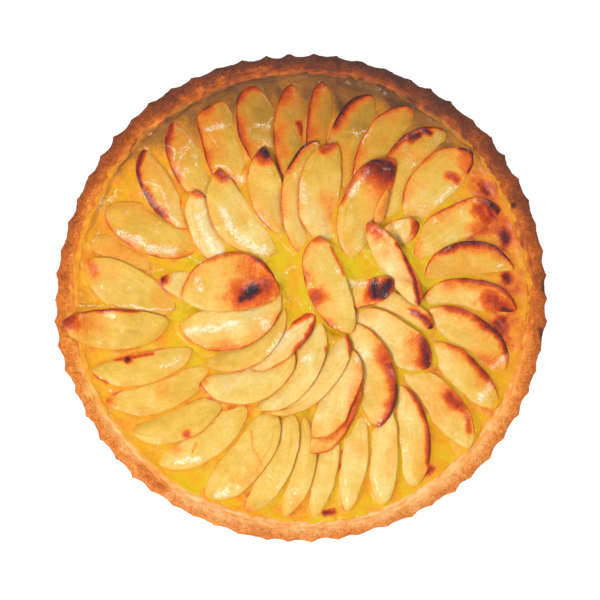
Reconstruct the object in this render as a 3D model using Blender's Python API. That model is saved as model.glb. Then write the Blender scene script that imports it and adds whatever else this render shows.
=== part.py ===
"""A round apple custard tart: a fluted shortcrust shell, its custard filling and the apple slices on it.

Run it with blender --background --python part.py. The origin is the middle of the flat base, +Z is up and
+Y points from the middle to the back of the tart. Lengths are in millimetres until a mesh is made.
"""

import math
import random

import bmesh
import bpy
import numpy as np

MM = 0.001

# The shell, as it comes out of a 280 mm loose-bottomed tart tin.
CUSP_RADIUS = 137.7
OVAL = 0.4
# Where the tin's band was out of true: angle and width in degrees, and how far the rim stands out.
SWELLS = ((40, 18, 1.7), (128, 15, 1.4), (190, 9, 1.7), (222, 8, 1.0), (316, 14, 1.4))
FLUTES = 62
FLUTE_DEPTH = 1.5
FLUTE_COLUMNS = 3
WALL_TAPER = 6.0
CRUST_HEIGHT = 28.0
RIM_WAVE = 0.6
BASE_CHAMFER = 1.0
CREST_RADIUS = 131.5
LIP_RADIUS = 128.4
WALL_RADIUS = 124.6
FOOT_RADIUS = 121.0
CRUST_FLOOR = 5.0
CRUST_SEED = 7

# The filling.
CUSTARD_LEVEL = 23.0
CUSTARD_WAVE = 0.35
CUSTARD_RINGS = 13
CUSTARD_COLUMNS = 56
GAP = 0.3
CUSTARD_GAP = 0.5
# Blisters that rose where the filling browned: x, y, radius and height.
BLISTERS = ((101, 64, 9, 1.6), (113, 35, 10, 2.0), (115, 11, 8, 1.6), (113, -16, 9, 1.6))

# The apple slices. Each is a lens cut lengthwise from an apple, thick at its peel edge and thin at its core.
PEEL_THICKNESS = 2.5
CORE_THICKNESS = 1.7
TIP_THICKNESS = 1.2
EDGE_DROP = 0.4
CROWN = 0.35
BLUNTNESS = 0.6
SLICE_STATIONS = 12
ACROSS = (0.0, 0.3, 0.74, 1.0)
# How a slice settles: the clearance under it, its steepest slopes and how far it droops into a free space.
CLEARANCE = 0.4
STEEPEST_ALONG = 0.22
STEEPEST_ACROSS = 0.5
DROOP = 0.8
DROOP_REACH = 6.0

# Every slice in the order in which it was laid: the tip near the rim (x, y), the other tip (x, y), the bulge of the
# peel edge to the right of the line from tip to tip, that of the core edge to its left, and how full each end is.
SLICES = {
    "outer_slice_01": ((-118, 33), (-84, 16), 8, 7, 2.5, 2.2),
    "outer_slice_02": ((-110, 50), (-59, 27), 14, 11.5, 2.4, 2.0),
    "outer_slice_03": ((-120, 21), (-71, -6), 17, 9, 2.5, 2.2),
    "outer_slice_04": ((-134, -14), (-74, -14), 15.5, 7.5, 2.3, 2.0),
    "outer_slice_05": ((-89, 83.5), (-62.5, 39.5), 13, 4.5, 2.3, 2.0),
    "outer_slice_06": ((-72, 99), (-49.5, 52), 12.5, 6, 2.4, 2.0),
    "outer_slice_07": ((-44.5, 111), (-30.5, 59), 18, 3.5, 7.0, 2.2),
    "outer_slice_08": ((-29, 119), (-11, 65), 14.5, 9, 3.0, 2.1),
    "outer_slice_09": ((-5, 120), (-8, 66), 9, 9, 2.5, 2.0),
    "outer_slice_10": ((12, 121), (8, 70), 7.5, 7, 3.0, 2.0),
    "outer_slice_11": ((39, 114), (24, 60), 16, 7, 2.6, 2.2),
    "outer_slice_12": ((63, 106), (33, 60), 15, 5, 2.8, 2.1),
    "outer_slice_13": ((81, 93), (48, 43), 20, 4, 3.0, 2.1),
    "outer_slice_14": ((97, 81), (60, 42), 18, 7, 2.8, 2.1),
    "outer_slice_15": ((112, 50), (64, 22), 16, 5, 2.7, 2.3),
    "outer_slice_16": ((119, 16), (69, 11), 18, 1, 2.3, 2.0),
    "outer_slice_17": ((121, -7), (67, -1), 14.5, 3, 2.4, 2.1),
    "outer_slice_18": ((115, -41), (68, -9), 16.5, 4.5, 2.5, 2.2),
    "outer_slice_19": ((109, -62), (72, -25), 10.5, 8, 2.4, 2.1),
    "outer_slice_20": ((94, -85), (55, -43), 16.5, 4, 2.5, 2.2),
    "outer_slice_21": ((63, -106), (56, -49), 12.5, 7, 2.5, 2.1),
    "outer_slice_22": ((44.5, -117), (47, -58), 9, 8, 2.2, 1.9),
    "outer_slice_23": ((25, -120), (33, -64), 8, 7.5, 2.2, 1.9),
    "outer_slice_24": ((7, -123.5), (17, -70), 8, 7, 2.2, 1.9),
    "outer_slice_25": ((-9.5, -122.5), (1, -66), 12, 3, 2.2, 1.9),
    "outer_slice_26": ((-30, -120.5), (-5, -64), 12.5, 7, 2.4, 2.1),
    "outer_slice_27": ((-53, -112), (-16, -62), 16.5, 6.5, 2.6, 2.3),
    "outer_slice_28": ((-80, -93), (-31, -58), 15.5, 5, 2.4, 2.1),
    "outer_slice_29": ((-95, -76), (-45, -57), 14, 5, 2.4, 2.1),
    "outer_slice_30": ((-110, -58), (-51, -38), 16, 3, 2.4, 2.0),
    "outer_slice_31": ((-118, -41), (-61, -29), 14, 4, 2.4, 2.0),
    "inner_slice_01": ((-79, 10.5), (-32, 0), 10, 8, 2.2, 1.9),
    "inner_slice_02": ((-61, 60), (-42, 17), 10.5, 6, 2.5, 2.2),
    "inner_slice_03": ((-46, 72), (-14, 25), 20.5, 3, 2.3, 2.0),
    "inner_slice_04": ((-22, 84), (-8, 35), 14, 5, 2.4, 2.1),
    "inner_slice_05": ((9, 88), (1, 24), 16.5, 4, 2.3, 2.0),
    "inner_slice_06": ((19, 87), (14, 29), 18, 5.5, 2.6, 2.3),
    "inner_slice_07": ((52, 77), (28, 22), 18, 5.5, 3.0, 2.3),
    "inner_slice_08": ((48.5, 60), (41, 38), 3.4, 3.0, 2.3, 2.0),
    "inner_slice_09": ((66, 41), (43, 33), 6, 8, 2.7, 2.4),
    "inner_slice_10": ((74, -17.5), (34, 3), 9, 6, 2.4, 2.1),
    "inner_slice_11": ((72.5, -39), (29, -9), 12.5, 11, 2.9, 2.6),
    "inner_slice_12": ((43, -72.5), (30, -15), 15.5, 8, 2.3, 2.0),
    "inner_slice_13": ((6, -87), (31, -40), 12, 5, 2.3, 2.0),
    "inner_slice_14": ((7, -78.5), (29, -29), 12.5, 6, 2.6, 2.3),
    "inner_slice_15": ((-18, -64.5), (25.5, -20), 15, 1, 2.3, 2.0),
    "inner_slice_16": ((-26, -62), (10, -12), 18, 1, 2.3, 2.0),
    "inner_slice_17": ((-57, -47.5), (-3.5, -31), 19.5, 2, 2.4, 2.1),
    "inner_slice_18": ((-29, -39), (7, -7), 10.5, 3.5, 2.4, 2.1),
    "inner_slice_19": ((-54, -37), (-10, -4), 17.5, 1, 2.3, 2.0),
    "inner_slice_20": ((-69, -15), (-11, 2), 22.5, 4, 2.3, 2.0),
    "middle_slice_1": ((-12, 4), (-67, 0), 22.5, 9.5, 2.5, 2.2),
    "middle_slice_2": ((66, -4.5), (37, 42), 8.5, 7, 2.4, 2.1),
    "middle_slice_3": ((20, 0), (51.5, 10), 9.5, 5, 2.9, 2.6),
    "middle_slice_4": ((9, 34), (28, -20), 15, 7, 2.9, 2.6),
}

# The ground on which slices are laid, as heights on a square grid.
CELL = 1.0
FIELD_HALF = 142.0


def clear_scene():
    for obj in list(bpy.data.objects):
        bpy.data.objects.remove(obj)


def material(name, colour, roughness):
    made = bpy.data.materials.new(name)
    made.use_nodes = True
    shader = made.node_tree.nodes["Principled BSDF"]
    shader.inputs["Base Color"].default_value = (*colour, 1)
    shader.inputs["Roughness"].default_value = roughness
    shader.inputs["Metallic"].default_value = 0.0
    return made


def add_node(name, points, faces, finish):
    """An object of these points, given in millimetres."""
    mesh = bpy.data.meshes.new(name)
    mesh.from_pydata([[MM * value for value in point] for point in points], [], faces)
    mesh.shade_smooth()
    mesh.set_sharp_from_angle(angle=math.radians(40))
    mesh.materials.append(finish)
    obj = bpy.data.objects.new(name, mesh)
    bpy.context.scene.collection.objects.link(obj)
    return obj


def ring_band(lower, upper):
    """Quads between two closed rings of point numbers, facing out where both run anticlockwise and upper is above."""
    count = len(lower)
    return [
        (lower[i], lower[(i + 1) % count], upper[(i + 1) % count], upper[i])
        for i in range(count)
    ]


# The crust


def rim_radius(angle):
    """The radius on which the cusps stand, a little out of round."""
    radius = CUSP_RADIUS + OVAL * math.cos(2 * angle)
    for place, width, swell in SWELLS:
        away = (math.degrees(angle) - place + 180) % 360 - 180
        radius += swell * math.exp(-((away / width) ** 2))
    return radius


def crust_columns():
    """The angle and the outer radius of each column: a cusp that points out, then the hollow of its flute."""
    draw = random.Random(CRUST_SEED)
    step = 2 * math.pi / FLUTES
    cusps = []
    for flute in range(FLUTES):
        angle = step * (flute + draw.uniform(-0.12, 0.12))
        radius = rim_radius(angle) + draw.uniform(-0.5, 0.4)
        cusps.append((angle, radius, FLUTE_DEPTH * draw.uniform(0.7, 1.25)))
    columns = []
    for flute, (angle, radius, depth) in enumerate(cusps):
        next_angle, next_radius, _ = cusps[(flute + 1) % FLUTES]
        turn = (next_angle - angle) % (2 * math.pi)
        for part in range(FLUTE_COLUMNS):
            share = part / FLUTE_COLUMNS
            hollow = depth * math.sin(math.pi * share) ** 0.8 if part else 0.0
            columns.append((angle + turn * share, radius + (next_radius - radius) * share - hollow))
    return columns


def rim_height(angle):
    """The rim rises and sinks a little on its way round."""
    wave = math.sin(3 * angle + 0.6) + 0.7 * math.sin(7 * angle + 2.0) + 0.4 * math.sin(16 * angle)
    return CRUST_HEIGHT + RIM_WAVE * wave / 2


def crust_profile(angle, outer):
    """The section of the wall at one column as (radius, height), from the base up its outer side and down inside."""
    rim = rim_height(angle)
    uneven = 0.7 * math.sin(5 * angle + 1.1) + 0.5 * math.sin(11 * angle + 0.3)
    shoulder = (outer - 2.4) * 0.6 + (CREST_RADIUS + 3.2) * 0.4
    return (
        (outer - WALL_TAPER - BASE_CHAMFER, 0.0),
        (outer - WALL_TAPER, BASE_CHAMFER),
        (outer, rim - 1.9),
        (shoulder, rim),
        (CREST_RADIUS + 0.3 * uneven, rim - 0.5),
        (LIP_RADIUS + uneven, rim - 2.6),
        (WALL_RADIUS + 0.5 * uneven, CUSTARD_LEVEL - 0.6),
        (FOOT_RADIUS, CRUST_FLOOR),
    )


def crust_mesh():
    points = []
    rings = None
    for angle, outer in crust_columns():
        profile = crust_profile(angle, outer)
        if rings is None:
            rings = [[] for _ in profile]
        for ring, (radius, height) in zip(rings, profile):
            ring.append(len(points))
            points.append((radius * math.cos(angle), radius * math.sin(angle), height))
    faces = [tuple(reversed(rings[0]))]
    for lower, upper in zip(rings, rings[1:]):
        faces += ring_band(lower, upper)
    faces.append(tuple(rings[-1]))
    return points, faces


# The custard


def custard_height(x, y):
    wave = math.sin(x / 17 + 0.5) * math.cos(y / 21) + 0.6 * math.sin(x / 9 - y / 11 + 1.0)
    height = CUSTARD_LEVEL + CUSTARD_WAVE * wave
    for blister_x, blister_y, radius, rise in BLISTERS:
        near = math.hypot(x - blister_x, y - blister_y) / radius
        height += rise * math.exp(-2 * near * near)
    return height


def custard_wall(angle):
    """Where the custard meets the wall of the crust, a gap inside it."""
    uneven = 0.7 * math.sin(5 * angle + 1.1) + 0.5 * math.sin(11 * angle + 0.3)
    return WALL_RADIUS + 0.5 * uneven - CUSTARD_GAP


def custard_mesh():
    angles = [2 * math.pi * column / CUSTARD_COLUMNS for column in range(CUSTARD_COLUMNS)]
    points = []
    rings = []

    def add_ring(radius_at, height_at):
        rings.append(list(range(len(points), len(points) + CUSTARD_COLUMNS)))
        for angle in angles:
            radius = radius_at(angle)
            x, y = radius * math.cos(angle), radius * math.sin(angle)
            points.append((x, y, height_at(x, y)))

    add_ring(lambda angle: FOOT_RADIUS - CUSTARD_GAP, lambda x, y: CRUST_FLOOR + GAP)
    add_ring(custard_wall, lambda x, y: CUSTARD_LEVEL - 0.6)
    for ring in range(CUSTARD_RINGS - 1):
        share = 1 - (ring + 0.12) / CUSTARD_RINGS
        add_ring(lambda angle, s=share: custard_wall(angle) * s, custard_height)
    faces = [tuple(reversed(rings[0]))]
    for lower, upper in zip(rings, rings[1:]):
        faces += ring_band(lower, upper)
    centre = len(points)
    points.append((0.0, 0.0, custard_height(0.0, 0.0)))
    inner = rings[-1]
    faces += [(inner[i], inner[(i + 1) % CUSTARD_COLUMNS], centre) for i in range(CUSTARD_COLUMNS)]
    return points, faces


# The ground that grows as slices are laid


def triangles_of(faces):
    return [(face[0], face[i], face[i + 1]) for face in faces for i in range(1, len(face) - 1)]


class Ground:
    """The top of everything laid so far, on a grid of cells."""

    def __init__(self):
        count = int(2 * FIELD_HALF / CELL) + 1
        self.axis = np.linspace(-FIELD_HALF, FIELD_HALF, count)
        self.height = np.zeros((count, count))

    def heights_of(self, points, faces):
        """The upward faces as heights on the grid, and minus infinity beside them."""
        found = np.full_like(self.height, -np.inf)
        points = np.asarray(points, float)
        for face in triangles_of(faces):
            a, b, c = points[list(face)]
            area = (b[0] - a[0]) * (c[1] - a[1]) - (b[1] - a[1]) * (c[0] - a[0])
            if area < 1e-6:
                continue
            low = np.floor((np.minimum(np.minimum(a, b), c)[:2] + FIELD_HALF) / CELL).astype(int)
            high = np.ceil((np.maximum(np.maximum(a, b), c)[:2] + FIELD_HALF) / CELL).astype(int) + 1
            x = self.axis[low[0] : high[0], None]
            y = self.axis[None, low[1] : high[1]]
            share_b = ((x - a[0]) * (c[1] - a[1]) - (y - a[1]) * (c[0] - a[0])) / area
            share_c = ((b[0] - a[0]) * (y - a[1]) - (b[1] - a[1]) * (x - a[0])) / area
            inside = (share_b > -1e-6) & (share_c > -1e-6) & (share_b + share_c < 1 + 1e-6)
            z = a[2] + share_b * (b[2] - a[2]) + share_c * (c[2] - a[2])
            window = found[low[0] : high[0], low[1] : high[1]]
            np.maximum(window, np.where(inside, z, -np.inf), out=window)
        return found

    @staticmethod
    def spread(heights):
        """Each cell takes the highest value among itself and its neighbours."""
        wide = heights.copy()
        for x_shift in (-1, 0, 1):
            for y_shift in (-1, 0, 1):
                np.maximum(wide, np.roll(heights, (x_shift, y_shift), (0, 1)), out=wide)
        return wide

    def cover(self, points, faces):
        np.maximum(self.height, self.heights_of(points, faces), out=self.height)

    def under(self, points, faces):
        """The cells below a piece, and a cell beyond its outline: their x, y and the lowest height free for it."""
        inside = np.isfinite(self.spread(self.heights_of(points, faces)))
        row, column = np.nonzero(inside)
        free = self.spread(self.height)[row, column] + CLEARANCE
        return self.axis[row], self.axis[column], free


# An apple slice


def slice_outline(tip, end, peel, core, tip_fullness, end_fullness):
    """The plan of a slice: for each station, points from its core edge to its peel edge; a tip is a single point."""
    tip, end = np.array(tip, float), np.array(end, float)
    along = end - tip
    to_peel = np.array((along[1], -along[0])) / np.linalg.norm(along)
    stations = []
    for station in range(SLICE_STATIONS):
        place = -math.cos(math.pi * station / (SLICE_STATIONS - 1))
        middle = tip + along * (place + 1) / 2
        if station in (0, SLICE_STATIONS - 1):
            stations.append([middle])
            continue
        fullness = tip_fullness if place < 0 else end_fullness
        width = (1 - abs(place) ** fullness) ** BLUNTNESS
        stations.append([middle + to_peel * width * ((core + peel) * share - core) for share in ACROSS])
    return stations


def slice_mesh(stations, bottom_of):
    """The closed mesh of a slice whose underside has the height bottom_of(x, y)."""
    points = []
    lower, upper = [], []
    for number, station in enumerate(stations):
        place = -math.cos(math.pi * number / (SLICE_STATIONS - 1))
        shares = ACROSS if len(station) > 1 else (0.5,)
        low_row, high_row = [], []
        for share, (x, y) in zip(shares, station):
            full = CORE_THICKNESS + (PEEL_THICKNESS - CORE_THICKNESS) * share
            body = TIP_THICKNESS + (full - TIP_THICKNESS) * (1 - place**4)
            drop = EDGE_DROP if share in (0.0, 1.0) else 0.0
            crown = CROWN * (1 - place * place) * 4 * share * (1 - share)
            bottom = bottom_of(x, y)
            low_row.append(len(points))
            points.append((x, y, bottom + 0.4 * crown))
            high_row.append(len(points))
            points.append((x, y, bottom + body - drop + crown))
        lower.append(low_row)
        upper.append(high_row)
    faces = []
    for k in range(len(stations) - 1):
        faces += strip(upper[k], upper[k + 1])
        faces += [tuple(reversed(face)) for face in strip(lower[k], lower[k + 1])]
        faces.append((lower[k][0], upper[k][0], upper[k + 1][0], lower[k + 1][0]))
        faces.append((upper[k][-1], lower[k][-1], lower[k + 1][-1], upper[k + 1][-1]))
    return points, faces


def strip(row, following):
    """Faces between two rows of a slice, facing up; a row of one point is a tip."""
    if len(row) == 1:
        return [(row[0], following[i + 1], following[i]) for i in range(len(following) - 1)]
    if len(following) == 1:
        return [(row[i], row[i + 1], following[0]) for i in range(len(row) - 1)]
    return [(row[i], row[i + 1], following[i + 1], following[i]) for i in range(len(row) - 1)]


def lowest(cost, limit):
    """Where a convex function is least between -limit and limit, and its value there."""
    low, high = -limit, limit
    for _ in range(34):
        third = (high - low) / 3
        if cost(low + third) < cost(high - third):
            high -= third
        else:
            low += third
    middle = (low + high) / 2
    return middle, cost(middle)


def resting_slopes(along, across, free):
    """The slopes at which a stiff slice lies still, where its middle is as low as what is under it allows."""

    def height_at(slope_along, slope_across):
        return float(np.max(free - slope_along * along - slope_across * across))

    def best_across(slope_along):
        return lowest(lambda slope: height_at(slope_along, slope), STEEPEST_ACROSS)

    slope_along, _ = lowest(lambda slope: best_across(slope)[1], STEEPEST_ALONG)
    slope_across, middle = best_across(slope_along)
    return slope_along, slope_across, middle


def settled(stations, ground):
    """The underside of a slice laid on the ground: stiff, with its free stretches drooping."""
    points, faces = slice_mesh(stations, lambda x, y: 0.0)
    x, y, free = ground.under(points, faces)
    centre = np.mean([np.mean(station, axis=0) for station in stations], axis=0)
    direction = stations[-1][0] - stations[0][0]
    direction = direction / np.linalg.norm(direction)
    along = (x - centre[0]) * direction[0] + (y - centre[1]) * direction[1]
    across = (x - centre[0]) * direction[1] - (y - centre[1]) * direction[0]
    slope_along, slope_across, middle = resting_slopes(along, across, free)
    clear = middle + slope_along * along + slope_across * across - free

    def bottom_of(px, py):
        rest_along = (px - centre[0]) * direction[0] + (py - centre[1]) * direction[1]
        rest_across = (px - centre[0]) * direction[1] - (py - centre[1]) * direction[0]
        near = np.hypot(x - px, y - py) < DROOP_REACH
        droop = DROOP * float(clear[near].min())
        return middle + slope_along * rest_along + slope_across * rest_across - droop

    return bottom_of


def main():
    clear_scene()
    pastry = material("crust", (0.55, 0.27, 0.08), 0.8)
    custard = material("custard", (0.83, 0.56, 0.07), 0.35)
    apple = material("apple", (0.92, 0.68, 0.28), 0.3)
    ground = Ground()
    for name, (points, faces), finish in (
        ("crust", crust_mesh(), pastry),
        ("custard", custard_mesh(), custard),
    ):
        add_node(name, points, faces, finish)
        ground.cover(points, faces)
    for name, row in SLICES.items():
        stations = slice_outline(*row)
        points, faces = slice_mesh(stations, settled(stations, ground))
        add_node(name, points, faces, apple)
        ground.cover(points, faces)


main()
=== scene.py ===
"""The looks of the apple tart: crust, custard and apple slices, rebuilt finely over the solids of the frame.

Lengths in this script are in millimetres until a mesh is made. A browning value runs from 0, unbaked, over 1,
dark red-brown, to 2, burnt black. A tone runs from 0, pale, to 1, deep.
"""

import math
from types import SimpleNamespace

import bpy
import numpy as np
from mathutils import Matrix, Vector
from mathutils.bvhtree import BVHTree


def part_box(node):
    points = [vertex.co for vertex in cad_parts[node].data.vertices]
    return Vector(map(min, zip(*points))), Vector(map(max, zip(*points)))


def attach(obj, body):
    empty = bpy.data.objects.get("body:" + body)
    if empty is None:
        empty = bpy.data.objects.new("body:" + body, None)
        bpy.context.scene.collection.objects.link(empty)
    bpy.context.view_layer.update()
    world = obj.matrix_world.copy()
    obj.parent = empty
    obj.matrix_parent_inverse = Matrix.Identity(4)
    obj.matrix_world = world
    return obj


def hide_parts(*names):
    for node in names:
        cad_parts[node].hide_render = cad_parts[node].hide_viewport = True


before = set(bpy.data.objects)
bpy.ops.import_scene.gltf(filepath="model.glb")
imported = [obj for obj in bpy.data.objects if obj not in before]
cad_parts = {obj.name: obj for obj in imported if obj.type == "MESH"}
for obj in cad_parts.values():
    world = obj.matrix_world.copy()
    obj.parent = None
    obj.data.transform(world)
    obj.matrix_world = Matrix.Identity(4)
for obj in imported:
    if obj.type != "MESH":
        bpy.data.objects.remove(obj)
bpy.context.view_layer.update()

MM = 0.001

# The photograph's frame: its width in pixels, where the tart's middle is in it and what a pixel measures.
PHOTO_SIDE = 600
PHOTO_CENTRE = (301.5, 297.5)
MM_PER_PIXEL = 0.56
CAMERA_DISTANCE = 1300.0
CAMERA_ELEVATION = 89.3
SENSOR_WIDTH = 36.0

# How the solids were laid out: stations along a slice, columns across it, and columns in one flute.
STATIONS = 12
COLUMN_SHARES = np.array((0.0, 0.3, 0.74, 1.0))
FLUTE_COLUMNS = 3

# How each slice differs: how much deeper in tone it is than its neighbours, the strength and the width of its
# browned peel edge, and its browned places. Those are strokes: a width, a strength and the x and y of each
# point in turn. One with a depth after its points browns only the peel edge, and fades over that depth.
SLICE_LOOKS = {
    "outer_slice_01": (0.08, 0.3, 1.5, (30, 0.26, (-101, 25))),
    "outer_slice_02": (0.1, 0.75, 1.5, (1.8, 0.75, (-112, 52, -105, 58, -96, 59.5)),
        (9, 0.22, (-103, 54, -80, 48))),
    "outer_slice_03": (0.16, 0.3, 1.2, (5, 0.45, (-118, 19, -116, 14))),
    "outer_slice_04": (0.14, 0.35, 1, (1.8, 1.1, (-132, -9, -118, -7, -104, -6.5, -92, -6.5)),
        (7, 1, (-134, -13, -129, -12)), (14, 0.34, (-122, -14))),
    "outer_slice_05": (0.06, 0.8, 2, (2, 1.3, (-89, 83, -92, 72, -90, 61)),
        (3, 1.2, (-88, 58, -84, 52, -78, 46)), (9, 0.2, (-84, 78, -76, 62))),
    "outer_slice_06": (0, 0.8, 1.9, (2.8, 0.9, (-73, 97, -76, 88, -76, 78)), (4, 0.4, (-70, 98))),
    "outer_slice_07": (-0.03, 1.1, 2.3, (2.6, 1.6, (-54, 111, -51, 112))),
    "outer_slice_08": (0.1, 1.1, 2.4, (3, 0.7, (-31, 118, -24, 118))),
    "outer_slice_09": (0, 1, 1.9, (2.2, 0.85, (-1.5, 98, 1, 92, 3, 86))),
    "outer_slice_10": (0.1, 0.95, 1.9, (8, 0.8, (8, 114, 4, 98), 2.6), (3.5, 0.7, (13, 120, 9, 118))),
    "outer_slice_11": (0.06, 0.8, 2.2, (6, 1.3, (19, 100, 24, 107, 30, 111, 35, 112.6, 40, 112), 4),
        (9, 0.65, (20, 101, 29, 109, 39, 111), 7)),
    "outer_slice_12": (-0.04, 0.9, 2, (3, 0.5, (62, 106))),
    "outer_slice_13": (0.08, 0.8, 1.8, (6, 1.15, (54, 84, 60, 91, 68, 93.5, 76, 93, 80, 91), 3),
        (2.4, 1.3, (62, 89, 66, 91)), (2, 1.35, (68.6, 93.4, 72, 91.5))),
    "outer_slice_14": (0, 0.8, 2, (2.6, 0.85, (73, 77, 82, 81, 90, 83.5), 1.8),
        (2.4, 1.3, (90, 84, 95, 82.5, 97.6, 79.5, 97.2, 75, 95, 71)), (2, 1.5, (96.8, 80.5, 96.8, 76.5)),
        (7, 0.5, (92, 80, 95, 73)), (2.9, 0.8, (83, 68.5, 87, 66))),
    "outer_slice_15": (0, 0.7, 1.8, (5.5, 1.15, (103, 53, 111, 50)), (3, 1.7, (107, 52, 111, 48)),
        (3.2, 1.3, (105, 50, 107, 46)), (4.5, 0.9, (99, 50, 104, 44)), (5, 0.5, (97, 38, 105, 43))),
    "outer_slice_16": (0.08, 0.9, 2.2, (8, 1.45, (84, 28, 97, 30.5, 108, 28, 117, 22), 3.6),
        (10, 0.55, (92, 27, 112, 22), 8)),
    "outer_slice_17": (0, 0.8, 2, (7, 1.1, (92, 11, 104, 9, 114, 4, 120, -4), 3.8),
        (6.5, 0.95, (106, -1, 114, -5)), (3, 1.5, (113, -6, 117, -8))),
    "outer_slice_18": (0, 0.8, 2, (8, 0.9, (82, -7, 93, -9.5), 4.5),
        (8, 1.4, (99, -13, 106, -17, 112, -22, 115, -28), 4.6), (7, 0.4, (100, -34, 108, -36))),
    "outer_slice_19": (0.08, 0.7, 2, (6, 0.7, (85, -27, 92, -32), 4), (6, 1.15, (96, -35, 103, -42), 5)),
    "outer_slice_20": (0.03, 0.45, 1.2, (4.6, 0.95, (84, -56, 90, -60)), (7.5, 0.4, (82, -53, 92, -62)),
        (17, 0.22, (74, -60)), (2.2, 0.62, (93, -65, 94.5, -75))),
    "outer_slice_21": (0, 0.7, 1.6, (6, 1.2, (62, -53, 69, -63, 71.5, -72, 72, -80, 71, -90), 3.2)),
    "outer_slice_22": (-0.1, 0.1, 1),
    "outer_slice_23": (0, 0.2, 1),
    "outer_slice_24": (0.02, 0.1, 1),
    "outer_slice_25": (0.06, 0.1, 1),
    "outer_slice_26": (-0.04, 0.1, 1, (3, 0.45, (-29, -119))),
    "outer_slice_27": (0.08, 0.15, 1, (1.5, 1, (-14.5, -92, -18, -98, -23, -102)),
        (0.8, 0.35, (-28, -75, -27, -86, -22, -94))),
    "outer_slice_28": (0, 0.2, 1, (0.8, 0.4, (-60, -82, -62, -87)), (4, 0.3, (-70, -86))),
    "outer_slice_29": (0.06, 0.2, 1, (2.6, 0.8, (-64, -77))),
    "outer_slice_30": (0.12, 0.3, 1.2, (5, 0.5, (-109, -58)), (2, 0.45, (-70, -43))),
    "outer_slice_31": (0.05, 0.35, 1.3, (2, 1.9, (-97.5, -34.5)),
        (1.2, 0.7, (-104, -35, -97, -34, -83, -31)), (4, 0.9, (-117, -41, -110, -47), 1.8)),
    "inner_slice_01": (-0.1, 0.3, 1.2, (3, 1.3, (-78, 10))),
    "inner_slice_02": (-0.12, 0.3, 1.2, (3.5, 0.8, (-60, 60, -56, 59))),
    "inner_slice_03": (0, 0.35, 1.2, (3.5, 0.9, (-47, 70, -44, 67))),
    "inner_slice_04": (0.02, 0.6, 1.5, (4.5, 1.5, (-23, 83, -20, 80))),
    "inner_slice_05": (-0.06, 0.6, 1.3, (3.4, 1.8, (-8, 75, -2, 81, 4, 86, 9.5, 88), 1.7),
        (7, 0.6, (-8, 74, 8, 86), 4)),
    "inner_slice_06": (0, 0.4, 1.3, (3.2, 0.8, (13, 83, 18, 87)), (7, 0.3, (14, 55, 18, 45))),
    "inner_slice_07": (0.12, 0.5, 1.5, (9.5, 1.2, (41, 73, 50, 69)), (2.6, 1.65, (40, 76, 46, 75.5)),
        (2.8, 1.55, (49, 74, 51, 70)), (16, 0.42, (42, 70, 51, 60)),
        (4, 0.75, (36, 72, 28, 62, 23, 55), 2.6)),
    "inner_slice_08": (0, 0.5, 1.5, (15, 0.32, (45, 49))),
    "inner_slice_09": (0, 0.4, 1.2, (5, 1.2, (67, 42, 67, 34))),
    "inner_slice_10": (0, 0.5, 1.5, (2.2, 1.15, (62, -8, 68, -11, 73, -16)), (1.8, 1.9, (73, -17))),
    "inner_slice_11": (-0.06, 0.6, 1.5, (5, 1.25, (68.5, -24, 69.5, -31, 70, -37)),
        (2.4, 1.55, (71, -33, 71, -38)), (8, 0.4, (64, -24, 66, -36))),
    "inner_slice_12": (0, 0.7, 1.8, (8, 0.95, (46, -34, 52, -46, 53, -54, 50, -63, 44, -71), 7),
        (6, 1.45, (53, -50, 52, -60, 49, -66), 3.4)),
    "inner_slice_13": (0, 0.8, 3, (9, 0.68, (30, -58, 22, -68, 12, -72))),
    "inner_slice_14": (-0.06, 0.9, 1.3),
    "inner_slice_15": (0, 0.3, 1, (1.4, 0.9, (26, -22, 27, -32))),
    "inner_slice_16": (-0.06, 0.25, 1, (1.2, 0.9, (14, -28, 15.5, -36))),
    "inner_slice_17": (0.05, 0.25, 1, (4, 0.35, (-55, -47))),
    "inner_slice_18": (-0.1, 0.5, 1.2, (2.8, 0.75, (-8, -15, 0, -11, 6, -8)),
        (4, 1.15, (7, -10, 4, -20, -3, -27), 2.2)),
    "inner_slice_19": (0.16, 0.3, 1.2),
    "inner_slice_20": (0, 0.75, 1.5),
    "middle_slice_1": (0, 0.7, 1.8, (4.4, 2, (-30, 2.4, -26, 4.2)), (2.6, 1.9, (-33.5, -0.6)),
        (1.8, 1.8, (-27, 7.5)), (10, 0.85, (-32, 1, -20, 6)), (6, 1.35, (-25, 20, -17, 14.5, -13, 7), 3.2),
        (15, 0.42, (-30, 18, -18, 9)), (5, 0.6, (-50, 20, -34, 25), 3), (5, 0.8, (-42, -7, -26, -5), 3),
        (3, 0.7, (-66, 3, -60, -3), 1.5)),
    "middle_slice_2": (-0.05, 0.9, 1.5, (1.5, 1.3, (54, 30, 58, 25, 63.5, 10, 66, -3)),
        (6, 0.6, (37, 42, 43, 37)), (9, 0.12, (40, 40))),
    "middle_slice_3": (0, 0.6, 1.5, (3, 1.9, (40.5, 8, 41.5, 1.5, 46, 2, 49, 9)),
        (3.6, 1.75, (44, 4, 47, 7)), (5.5, 0.65, (39, 2, 48, 7)), (3, 0.9, (30, -4, 40, -5), 1.2)),
    "middle_slice_4": (0, 0.9, 1.5, (5.5, 0.7, (6, -3, 9, 2)), (3.5, 0.6, (8, 33, 13, 34)),
        (1, 0.6, (16, 28, 20, 20, 23, 13))),
}

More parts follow.
